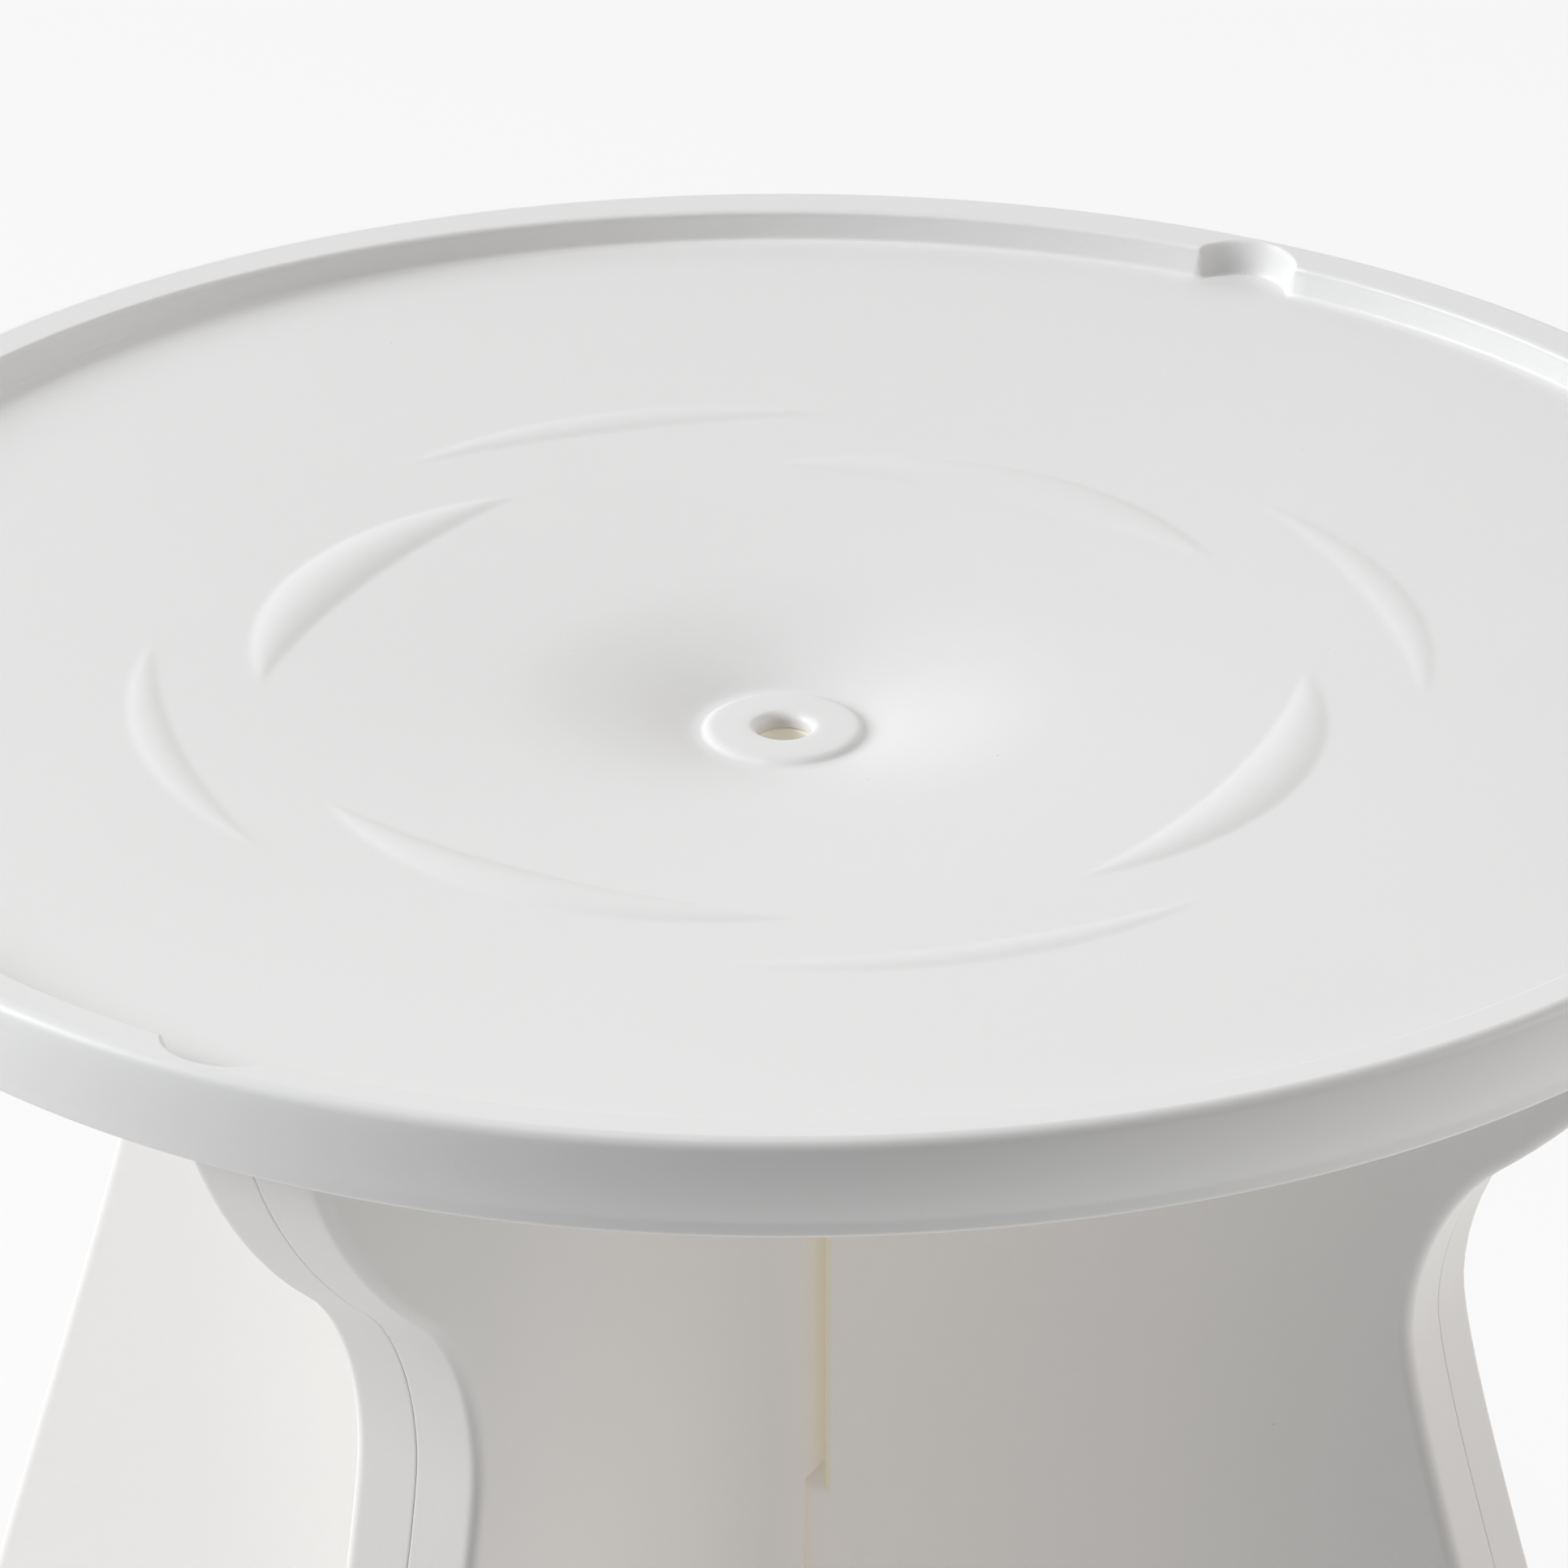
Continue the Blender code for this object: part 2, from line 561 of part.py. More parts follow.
start_scene()
white_plastic = make_material("white_plastic", (0.80, 0.80, 0.80), 0.42)
race_steel = make_material("race_steel", (0.62, 0.62, 0.63), 0.28, 1.0)
cage_nylon = make_material("cage_nylon", (0.70, 0.68, 0.62), 0.5)
washer_brass = make_material("washer_brass", (0.72, 0.55, 0.25), 0.35, 1.0)
pad_rubber = make_material("pad_rubber", (0.10, 0.10, 0.10), 0.85)
make_platter(white_plastic, race_steel)
make_spindle(cage_nylon, race_steel, washer_brass)
make_bearing(race_steel, cage_nylon)
make_hub(white_plastic, race_steel)
make_base(white_plastic, pad_rubber)
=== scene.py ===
"""Lazy susan turntable: the finished surfaces of a white platter on crossed hourglass panels."""

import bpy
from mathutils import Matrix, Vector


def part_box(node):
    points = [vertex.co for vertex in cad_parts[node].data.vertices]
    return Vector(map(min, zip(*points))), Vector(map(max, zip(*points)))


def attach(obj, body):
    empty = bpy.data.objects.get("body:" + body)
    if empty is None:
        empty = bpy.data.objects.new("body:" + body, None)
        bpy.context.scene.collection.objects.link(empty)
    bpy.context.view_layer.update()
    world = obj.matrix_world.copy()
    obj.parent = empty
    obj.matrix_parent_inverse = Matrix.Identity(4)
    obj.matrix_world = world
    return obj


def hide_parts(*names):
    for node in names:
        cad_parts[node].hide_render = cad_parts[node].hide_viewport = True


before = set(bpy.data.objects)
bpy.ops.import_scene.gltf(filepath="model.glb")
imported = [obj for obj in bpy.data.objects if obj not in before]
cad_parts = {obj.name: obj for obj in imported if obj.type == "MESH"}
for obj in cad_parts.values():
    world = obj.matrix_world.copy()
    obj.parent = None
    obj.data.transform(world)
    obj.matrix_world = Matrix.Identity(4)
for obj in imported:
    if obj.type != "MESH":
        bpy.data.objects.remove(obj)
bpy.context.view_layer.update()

import math

import bmesh
import bpy
from mathutils import Matrix, Vector

# The studio: a pale sweep that glows evenly, a large soft light on the left, a weaker one on the
# right and one overhead, all a little behind the turntable, so its front is the shaded side.
mm = 0.001
rim_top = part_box("platter")[1].z
platter_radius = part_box("platter")[1].x
scene = bpy.context.scene
scene.view_settings.view_transform = "Standard"

camera_data = bpy.data.cameras.new("studio_camera")
camera_data.lens = 188.2
camera_data.sensor_width = 36.0
camera_data.clip_end = 50.0
camera = bpy.data.objects.new("studio_camera", camera_data)
camera.location = (0.0, -6.715 * platter_radius, rim_top + 3.1465 * platter_radius)
camera.rotation_euler = (math.radians(90.0 - 26.33), 0.0, 0.0)
scene.collection.objects.link(camera)
scene.camera = camera

sweep_mesh = bpy.data.meshes.new("studio_sweep")
sweep_shape = bmesh.new()
sweep_half_width, sweep_below_pads = 9.0, 0.0002
sweep_plan = (
    (-14.0, 0.0), (3.0, 0.0), (4.0, 0.12), (4.8, 0.55), (5.3, 1.3), (5.5, 2.2), (5.5, 6.0),
)
sweep_rows = []
for depth, rise in sweep_plan:
    sweep_rows.append([
        sweep_shape.verts.new((side * sweep_half_width, depth, rise - sweep_below_pads))
        for side in (-1, 1)
    ])
for near, far in zip(sweep_rows, sweep_rows[1:]):
    sweep_shape.faces.new((near[0], near[1], far[1], far[0]))
sweep_shape.to_mesh(sweep_mesh)
sweep_shape.free()
sweep_mesh.shade_smooth()
sweep = bpy.data.objects.new("studio_sweep", sweep_mesh)
scene.collection.objects.link(sweep)
sweep_paper = bpy.data.materials.new("sweep_paper")
sweep_paper.use_nodes = True
paper_nodes, paper_links = sweep_paper.node_tree.nodes, sweep_paper.node_tree.links
paper = paper_nodes["Principled BSDF"]
paper.inputs["Base Color"].default_value = (0.12, 0.12, 0.12, 1.0)
paper.inputs["Roughness"].default_value = 1.0
paper.inputs["Specular IOR Level"].default_value = 0.0
paper_place = paper_nodes.new("ShaderNodeTexCoord")
paper_depth = paper_nodes.new("ShaderNodeSeparateXYZ")
paper_fall = paper_nodes.new("ShaderNodeMapRange")
paper_fall.interpolation_type = "SMOOTHSTEP"
paper_fall.inputs["From Min"].default_value = -0.75
paper_fall.inputs["From Max"].default_value = 0.05
paper_fall.inputs["To Min"].default_value = 0.50
paper_fall.inputs["To Max"].default_value = 0.84
paper_glow = paper_nodes.new("ShaderNodeCombineColor")
paper_links.new(paper_place.outputs["Object"], paper_depth.inputs["Vector"])
paper_links.new(paper_depth.outputs["Y"], paper_fall.inputs["Value"])
for channel in ("Red", "Green", "Blue"):
    paper_links.new(paper_fall.outputs["Result"], paper_glow.inputs[channel])
paper_links.new(paper_glow.outputs["Color"], paper.inputs["Emission Color"])
paper.inputs["Emission Strength"].default_value = 1.0
sweep_mesh.materials.append(sweep_paper)

world = bpy.data.worlds.new("studio_air")
world.use_nodes = True
world.node_tree.nodes["Background"].inputs["Color"].default_value = (0.97, 0.98, 1.0, 1.0)
world.node_tree.nodes["Background"].inputs["Strength"].default_value = 0.08
scene.world = world


def softbox(name, bearing, elevation, distance, size, power, colour):
    """A square soft light at a bearing and an elevation in degrees, aimed at the platter."""
    light = bpy.data.lights.new(name, "AREA")
    light.size = size
    light.energy = power
    light.color = colour
    lamp = bpy.data.objects.new(name, light)
    flat = distance * math.cos(math.radians(elevation))
    lamp.location = (
        flat * math.cos(math.radians(bearing)),
        flat * math.sin(math.radians(bearing)),
        distance * math.sin(math.radians(elevation)) + rim_top,
    )
    aim = Vector((0.0, 0.0, rim_top)) - lamp.location
    lamp.rotation_euler = aim.to_track_quat("-Z", "Y").to_euler()
    scene.collection.objects.link(lamp)


softbox("key_left", 182.0, 25.0, 2.2, 1.0, 43.0, (0.97, 0.985, 1.0))
softbox("fill_right", -6.0, 16.0, 2.4, 1.3, 17.5, (1.0, 0.96, 0.925))
softbox("overhead", 200.0, 84.0, 2.4, 1.5, 20.5, (1.0, 0.995, 0.99))


# Platter: one injection moulding in satin white plastic. Inside a flat rim, a dished floor falls to
# a smooth dimple with a rounded collar round the open centre hole; a skirt hides the bearing. Two
# fingertip notches are cut into the rim, and eight low lens-shaped ridges stand round the dimple.
rim_inner_radius = 191.2
rim_inner_drop = 0.7
crest_round = 2.2
floor_radius = 189.6
floor_edge_drop = 6.6
floor_fall = 0.075
wall = 3.0
dimple_radius = 54.0
dimple_drop = 24.6
collar_radius = 16.0
collar_drop = 23.2
hole_radius = 5.0
skirt_drop = 20.2
skirt_taper, skirt_curve = 3.4, 1.9
lip_round = 2.3
boss_radii = (84.0, 116.0)
boss_drop = 20.0
spindle_socket_radius = 9.5
rib_height = 1.3
rib_spacing, rib_half_angle = 15.0, 0.8
ribbed_from, ribbed_to = 117.0, 187.0
notch_radius = 10.8
notch_reach = 196.4
notch_edge_width = 2.2
notch_bearings = (61.0, 241.0)
spoke_spacing, notch_spoke_spacing, notch_half_angle = 0.75, 0.09375, 4.0
# Each ring of four ridges: first bearing, half its span, radius, half its width and height.
ridge_rings = ((62.0, 30.0, 95.0, 6.6, 1.05), (16.5, 23.0, 116.0, 3.9, 0.5))


def arc(centre, radius, start, end, count):
    """Points of an arc in a section, by angle in degrees from outwards, upwards positive."""
    found = []
    for step in range(count + 1):
        angle = math.radians(start + (end - start) * step / count)
        found.append((centre[0] + radius * math.cos(angle), centre[1] - radius * math.sin(angle)))
    return found


def run(start, end, count):
    """Evenly spaced points between two, without the first."""
    found = []
    for step in range(1, count + 1):
        share = step / count
        found.append(tuple(a + (b - a) * share for a, b in zip(start, end)))
    return found


def dish_drop(radius):
    """Depth of the dished floor and the smooth dimple below the rim's top."""
    straight = floor_edge_drop + (floor_radius - radius) * floor_fall
    extra = dimple_drop - floor_edge_drop - (floor_radius - collar_radius) * floor_fall
    share = max(0.0, (dimple_radius - radius) / (dimple_radius - collar_radius))
    return straight + extra * share * share


def dish_run(radii, extra=0.0):
    return [(radius, dish_drop(radius) + extra) for radius in radii]


def spread(start, end, count):
    return [start + (end - start) * step / count for step in range(1, count + 1)]


def upper_section():
    """Top surface of the platter, from the centre hole out over the rim to the skirt's lip."""
    section = [(hole_radius, collar_drop + wall), (hole_radius, collar_drop + 2.4)]
    section += arc((hole_radius + 1.7, collar_drop + 1.8), 1.7, 176.0, 96.0, 7)
    section += run(section[-1], (collar_radius - 3.2, collar_drop + 0.15), 4)
    section += arc((collar_radius - 3.2, collar_drop + 3.1), 2.95, 82.0, 46.0, 5)
    section += [(collar_radius - 0.5, dimple_drop - 0.25)]
    section += dish_run(spread(collar_radius, dimple_radius, 26))
    section += dish_run(spread(dimple_radius, 86.0, 8))
    section += dish_run(spread(86.0, 122.0, 44))
    section += dish_run(spread(122.0, 183.0, 10))
    section += dish_run(spread(183.0, floor_radius - 1.2, 8))
    section += arc((floor_radius - 1.2, dish_drop(floor_radius) - 1.2), 1.2, -80.0, -14.0, 5)
    section += run(section[-1], (rim_inner_radius - 0.6, rim_inner_drop + 1.1), 8)
    section += arc((rim_inner_radius + 0.5, rim_inner_drop + 1.05), 1.1, 166.0, 94.0, 5)
    section += run(section[-1], (platter_radius / mm - crest_round - 0.5, 0.06), 20)
    section += arc((platter_radius / mm - crest_round, crest_round), crest_round, 98.0, 4.0, 10)
    return section


def skirt_section():
    """Outside of the skirt, its rounded lip, the inside, and back under the floor to the hole."""
    outer = platter_radius / mm
    lip = (outer - skirt_taper - lip_round, skirt_drop - lip_round)
    under_floor = floor_edge_drop + wall
    section = []
    for step in range(1, 13):
        share = step / 12
        drop = crest_round + 0.2 + (lip[1] - crest_round - 1.0) * share
        section.append((outer - skirt_taper * share ** skirt_curve, drop))
    section += arc(lip, lip_round, -22.0, -118.0, 7)
    section += run(section[-1], (outer - wall - 1.6, under_floor + 0.5), 4)
    section += [(outer - wall - 2.2, under_floor), (floor_radius - 1.0, under_floor)]
    inner, rim = boss_radii
    section += dish_run([186.0, 151.0], wall) + dish_run([150.4, 148.6], wall + rib_height)
    section += dish_run([148.0, 118.0, rim], wall)
    section += [(rim, boss_drop - 0.5), (rim - 0.5, boss_drop)]
    section += [(inner + 0.5, boss_drop), (inner, boss_drop - 0.5)]
    section += dish_run(spread(inner + 0.001, inner, 1), wall)
    section += dish_run(spread(dimple_radius, collar_radius, 10), wall)
    section.append((spindle_socket_radius, dimple_drop + wall))
    section.append((spindle_socket_radius, collar_drop + wall))
    return section


def ridge_lift(radius, bearing):
    """Height of the moulded ridges above the floor: low lenses whose crowns run along an arc."""
    lift = 0.0
    for first, half_span, middle, half_width, height in ridge_rings:
        along = ((bearing - first + 45.0) % 90.0 - 45.0) / half_span
        if abs(along) >= 1.0:
            continue
        width = half_width * (1.0 - along * along)
        across = (radius - middle) / width
        if abs(across) < 1.0:
            lift += height * (1.0 - across * across) * (1.0 - along * along)
    return lift


def notch_depth(radius, bearing):
    """1 inside a finger notch, falling to 0 over its rounded edge."""
    deepest = 0.0
    for middle in notch_bearings:
        turn = math.radians(bearing - middle)
        away = notch_reach - notch_radius
        gap = math.hypot(radius * math.cos(turn) - away, radius * math.sin(turn)) - notch_radius
        share = min(max(0.5 - gap / notch_edge_width, 0.0), 1.0)
        deepest = max(deepest, share * share * (3.0 - 2.0 * share))
    return deepest


def platter_bearings():
    """Bearings of the mesh's spokes in degrees, closer together at the notches."""
    found, bearing = [], 0.0
    while bearing < 359.999:
        found.append(bearing)
        near = min(abs((bearing - middle + 180.0) % 360.0 - 180.0) for middle in notch_bearings)
        bearing += notch_spoke_spacing if near < notch_half_angle else spoke_spacing
    return found


def shaded_mesh(shape, name, crease):
    """The finished shape as a mesh, smooth except at edges sharper than the crease in degrees."""
    mesh = bpy.data.meshes.new(name)
    shape.to_mesh(mesh)
    shape.free()
    mesh.shade_smooth()
    mesh.set_sharp_from_angle(angle=math.radians(crease))
    return mesh


def link_piece(name, mesh):
    piece = bpy.data.objects.new(name, mesh)
    scene.collection.objects.link(piece)
    return piece


def build_platter():
    upper = upper_section()
    section = upper + skirt_section()
    shape = bmesh.new()
    spokes = []
    for bearing in platter_bearings():
        turn = math.radians(bearing)
        spoke = []
        for place, (radius, drop) in enumerate(section):
            if place < len(upper):
                drop -= ridge_lift(radius, bearing)
                if radius > 180.0:
                    drop += notch_depth(radius, bearing) * max(0.0, floor_edge_drop + 0.2 - drop)
            elif ribbed_from < radius < ribbed_to and drop < boss_drop - 1.0:
                from_rib = abs((bearing + rib_spacing / 2) % rib_spacing - rib_spacing / 2)
                if from_rib < rib_half_angle and drop < dish_drop(radius) + wall + 0.1:
                    drop += rib_height
            spoke.append(shape.verts.new((
                radius * mm * math.cos(turn), radius * mm * math.sin(turn), rim_top - drop * mm,
            )))
        spokes.append(spoke)
    for here, after in zip(spokes, spokes[1:] + spokes[:1]):
        for place in range(len(section)):
            beyond = (place + 1) % len(section)
            shape.faces.new((here[place], here[beyond], after[beyond], after[place]))
    bmesh.ops.recalc_face_normals(shape, faces=shape.faces)
    return link_piece("platter_moulding", shaded_mesh(shape, "platter_moulding", 38.0))


def socket(group, name, kind, is_output=False, value=None):
    """Adds a named socket to a shader group."""
    way = "OUTPUT" if is_output else "INPUT"
    made = group.interface.new_socket(name=name, in_out=way, socket_type=kind)
    if value is not None:
        made.default_value = value
    return made


def moulded_surface_group():
    """The skin of a moulding: a fine spark-eroded grain, swirls where the melt flowed, and dust."""
    group = bpy.data.node_groups.new("moulded_surface", "ShaderNodeTree")
    socket(group, "Plastic", "NodeSocketColor", value=(0.8, 0.8, 0.8, 1.0))
    socket(group, "Shaded Plastic", "NodeSocketColor", value=(0.75, 0.75, 0.75, 1.0))
    socket(group, "Smoothness", "NodeSocketFloat", value=0.4)
    socket(group, "Grain Size", "NodeSocketFloat", value=2200.0)
    socket(group, "Dust", "NodeSocketFloat", value=0.2)
    socket(group, "Colour", "NodeSocketColor", is_output=True)
    socket(group, "Roughness", "NodeSocketFloat", is_output=True)
    socket(group, "Height", "NodeSocketFloat", is_output=True)
    nodes, links = group.nodes, group.links
    given = nodes.new("NodeGroupInput")
    made = nodes.new("NodeGroupOutput")
    place = nodes.new("ShaderNodeTexCoord")

    flow = nodes.new("ShaderNodeTexNoise")
    flow.inputs["Scale"].default_value = 9.0
    flow.inputs["Detail"].default_value = 3.0
    flow.inputs["Distortion"].default_value = 1.2
    links.new(place.outputs["Object"], flow.inputs["Vector"])
    grain = nodes.new("ShaderNodeTexNoise")
    grain.inputs["Detail"].default_value = 4.0
    grain.inputs["Roughness"].default_value = 0.6
    links.new(place.outputs["Object"], grain.inputs["Vector"])
    links.new(given.outputs["Grain Size"], grain.inputs["Scale"])
    specks = nodes.new("ShaderNodeTexVoronoi")
    specks.inputs["Scale"].default_value = 130.0
    links.new(place.outputs["Object"], specks.inputs["Vector"])
    speck_size = nodes.new("ShaderNodeMapRange")
    speck_size.inputs["From Min"].default_value = 0.035
    speck_size.inputs["From Max"].default_value = 0.02
    links.new(specks.outputs["Distance"], speck_size.inputs["Value"])
    rare = nodes.new("ShaderNodeMath")
    rare.operation = "GREATER_THAN"
    rare.inputs[1].default_value = 0.9
    split = nodes.new("ShaderNodeSeparateColor")
    links.new(specks.outputs["Color"], split.inputs["Color"])
    links.new(split.outputs["Red"], rare.inputs[0])
    few = nodes.new("ShaderNodeMath")
    few.operation = "MULTIPLY"
    links.new(speck_size.outputs["Result"], few.inputs[0])
    links.new(rare.outputs[0], few.inputs[1])
    dusty = nodes.new("ShaderNodeMath")
    dusty.operation = "MULTIPLY"
    links.new(few.outputs[0], dusty.inputs[0])
    links.new(given.outputs["Dust"], dusty.inputs[1])

    tone = nodes.new("ShaderNodeMix")
    tone.data_type = "RGBA"
    links.new(flow.outputs["Fac"], tone.inputs["Factor"])
    links.new(given.outputs["Plastic"], tone.inputs["A"])
    links.new(given.outputs["Shaded Plastic"], tone.inputs["B"])
    speckled = nodes.new("ShaderNodeMix")
    speckled.data_type = "RGBA"
    speckled.inputs["B"].default_value = (0.32, 0.30, 0.28, 1.0)
    links.new(dusty.outputs[0], speckled.inputs["Factor"])
    links.new(tone.outputs["Result"], speckled.inputs["A"])
    links.new(speckled.outputs["Result"], made.inputs["Colour"])

    sheen_swing = nodes.new("ShaderNodeMapRange")
    sheen_swing.inputs["To Min"].default_value = -0.05
    sheen_swing.inputs["To Max"].default_value = 0.07
    links.new(flow.outputs["Fac"], sheen_swing.inputs["Value"])
    rough = nodes.new("ShaderNodeMath")
    rough.operation = "ADD"
    rough.use_clamp = True
    links.new(given.outputs["Smoothness"], rough.inputs[0])
    links.new(sheen_swing.outputs["Result"], rough.inputs[1])
    links.new(rough.outputs[0], made.inputs["Roughness"])

    raised = nodes.new("ShaderNodeMath")
    raised.operation = "ADD"
    links.new(grain.outputs["Fac"], raised.inputs[0])
    links.new(dusty.outputs[0], raised.inputs[1])
    links.new(raised.outputs[0], made.inputs["Height"])
    return group


moulded_surface = moulded_surface_group()


def moulded_plastic(name, colour, second, roughness, grain, depth, dust):
    """Satin plastic that carries the moulded surface, with its own colours and grain."""
    material = bpy.data.materials.new(name)
    material.use_nodes = True
    nodes, links = material.node_tree.nodes, material.node_tree.links
    shader = nodes["Principled BSDF"]
    skin = nodes.new("ShaderNodeGroup")
    skin.node_tree = moulded_surface
    skin.inputs["Plastic"].default_value = (*colour, 1.0)
    skin.inputs["Shaded Plastic"].default_value = (*second, 1.0)
    skin.inputs["Smoothness"].default_value = roughness
    skin.inputs["Grain Size"].default_value = grain
    skin.inputs["Dust"].default_value = dust
    relief = nodes.new("ShaderNodeBump")
    relief.inputs["Strength"].default_value = depth
    relief.inputs["Distance"].default_value = 0.00012
    links.new(skin.outputs["Colour"], shader.inputs["Base Color"])
    links.new(skin.outputs["Roughness"], shader.inputs["Roughness"])
    links.new(skin.outputs["Height"], relief.inputs["Height"])
    links.new(relief.outputs["Normal"], shader.inputs["Normal"])
    shader.inputs["IOR"].default_value = 1.49
    shader.inputs["Specular IOR Level"].default_value = 0.45
    return material


platter_moulding = build_platter()
platter_white = moulded_plastic(
    "platter_white", (0.83, 0.827, 0.823), (0.818, 0.813, 0.808), 0.40, 2400.0, 0.25, 0.5,
)
platter_moulding.data.materials.append(platter_white)
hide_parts("platter")
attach(platter_moulding, "turning_platter")


# Crossed panels: four moulded half shells in the same white plastic, two to a panel, closed on
# each other along the middle of the thick edge. The cross panel is slotted from its top and the
# long panel from its foot, and they slide together half and half.
panel_bearing = 61.5
panel_thickness = 26.0
panel_edge_radius = 2.4
panel_clearance = 0.3
parting_gap = 0.08
parting_chamfer = 0.16
panel_foot_drop = (rim_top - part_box("long_panel_left_shell")[0].z) / mm
saddle_drop = 36.5
saddle_radius = 119.5
panel_top = ((119.5, 17.5), (188.0, 13.5))
shoulder, waist, foot_radius = (149.5, 71.0), (133.8, 107.0), 196.0
lap_drop = 173.0
upper_slot_gap = 2.0
lower_slot_gaps = (0.8, 6.0)
pocket_radius, pocket_drop = 17.0, 46.5
lap_margin, panel_face_area = 5.0, 0.01


def curve_points(start, first_pull, second_pull, end, count):
    """Points of a cubic curve, without its last one."""
    found = []
    for step in range(count):
        t = step / count
        weights = ((1 - t) ** 3, 3 * t * (1 - t) ** 2, 3 * t * t * (1 - t), t ** 3)
        corners = (start, first_pull, second_pull, end)
        found.append(tuple(sum(w * c[axis] for w, c in zip(weights, corners)) for axis in (0, 1)))
    return found


def panel_outline(slot_from_top):
    """The panel's outline as (distance from the axis, drop), round from the middle of its top."""
    foot = (foot_radius, panel_foot_drop)
    side = [panel_top[0]]
    side.append(panel_top[1])
    side += curve_points(panel_top[1], (183.0, 37.0), (164.5, 58.5), shoulder, 14)[2:]
    side += curve_points(shoulder, (140.5, 78.5), (waist[0], 93.0), waist, 10)
    side += curve_points(waist, (waist[0], 128.0), (173.0, 233.0), foot, 22) + [foot]
    pocket = [(pocket_radius, pocket_drop), (pocket_radius, saddle_drop)]
    pocket.append((saddle_radius, saddle_drop))
    if slot_from_top:
        slot = panel_thickness / 2 + upper_slot_gap
        half = [(0.0, lap_drop), (slot, lap_drop), (slot, pocket_drop)] + pocket + side
        half += [(0.0, panel_foot_drop)]
    else:
        narrow, wide = (panel_thickness / 2 + gap for gap in lower_slot_gaps)
        half = [(0.0, pocket_drop)] + pocket + side + [(wide, panel_foot_drop)]
        half += [(narrow, lap_drop - panel_clearance), (0.0, lap_drop - panel_clearance)]
    return half + [(-x, drop) for x, drop in reversed(half) if x > 0]


def inset(outline, amount):
    """The outline moved into the panel by an even distance, with mitred corners."""
    moved = []
    for before, here, after in zip(outline[-1:] + outline[:-1], outline, outline[1:] + outline[:1]):
        sides = []
        for start, end in ((before, here), (here, after)):
            along = Vector((end[0] - start[0], end[1] - start[1])).normalized()
            sides.append(Vector((-along.y, along.x)))
        step = (sides[0] + sides[1]) * (amount / (1.0 + sides[0].dot(sides[1])))
        moved.append((here[0] + step.x, here[1] + step.y))
    return moved


def build_panel_half(name, slot_from_top, bearing, side):
    """One half shell: parting line, rounded edge and flat face outside, and an even wall inside."""
    outline = panel_outline(slot_from_top)
    area = sum(a[0] * b[1] - b[0] * a[1] for a, b in zip(outline, outline[1:] + outline[:1]))
    if area < 0:
        outline.reverse()
    half_thick = panel_thickness / 2
    cavity = half_thick - wall
    rows = [
        (inset(outline, wall), cavity),
        (inset(outline, wall), parting_gap / 2),
        (inset(outline, parting_chamfer * 1.2), parting_gap / 2),
        (inset(outline, parting_chamfer * 0.35), parting_gap / 2 + parting_chamfer * 0.35),
        (outline, parting_gap / 2 + parting_chamfer * 1.2),
        (outline, parting_gap / 2 + parting_chamfer * 1.2 + 0.3),
        (outline, half_thick - panel_edge_radius - 0.5),
    ]
    for step in range(9):
        turn = math.radians(90.0 * step / 8)
        depth = half_thick - panel_edge_radius * (1 - math.sin(turn))
        rows.append((inset(outline, panel_edge_radius * (1 - math.cos(turn))), depth))
    rows.append((inset(outline, panel_edge_radius + 0.5), half_thick))
    shape = bmesh.new()
    loops = []
    for points, depth in rows:
        loops.append([
            shape.verts.new((x * mm, side * depth * mm, rim_top - drop * mm)) for x, drop in points
        ])
    for near, far in zip(loops, loops[1:]):
        for here in range(len(near)):
            beyond = (here + 1) % len(near)
            shape.faces.new((near[here], near[beyond], far[beyond], far[here]))
    shape.faces.new(loops[0])
    shape.faces.new(loops[-1])
    bmesh.ops.recalc_face_normals(shape, faces=shape.faces)
    piece = link_piece(name, shaded_mesh(shape, name, 40.0))
    piece.matrix_world = Matrix.Rotation(math.radians(bearing), 4, "Z")
    return piece


def mark_slot_painted_glow(mesh):
    """Gives the slot's thin side walls the second finish, a cream colour with a painted glow for
    light through the thin walls, but not the floor of the lap.
    """
    reach = panel_thickness / 2 + upper_slot_gap + panel_edge_radius * 0.9
    for face in mesh.polygons:
        drop = (rim_top - face.center.z) / mm
        in_slot = abs(face.center.x) / mm < reach and drop > pocket_drop
        off_lap = abs(drop - lap_drop) > lap_margin
        if in_slot and off_lap and face.area < panel_face_area:
            face.material_index = 1


def paint_glow_at_crossing(material, strength, near, far):
    """Painted glow on the panels: a little warm emission, most at the crossing and none farther
    out, that lifts the shade in the corner between them.
    """
    nodes, links = material.node_tree.nodes, material.node_tree.links
    shader = nodes["Principled BSDF"]
    place = nodes.new("ShaderNodeTexCoord")
    along = nodes.new("ShaderNodeSeparateXYZ")
    links.new(place.outputs["Object"], along.inputs["Vector"])
    from_axis = nodes.new("ShaderNodeMath")
    from_axis.operation = "ABSOLUTE"
    links.new(along.outputs["X"], from_axis.inputs[0])
    glow_fade = nodes.new("ShaderNodeMapRange")
    glow_fade.inputs["From Min"].default_value = near
    glow_fade.inputs["From Max"].default_value = far
    glow_fade.inputs["To Min"].default_value = strength
    glow_fade.inputs["To Max"].default_value = 0.0
    links.new(from_axis.outputs[0], glow_fade.inputs["Value"])
    # Painted light: the emission strength fades from the crossing outwards.
    links.new(glow_fade.outputs["Result"], shader.inputs["Emission Strength"])
    shader.inputs["Emission Color"].default_value = (1.0, 0.90, 0.84, 1.0)


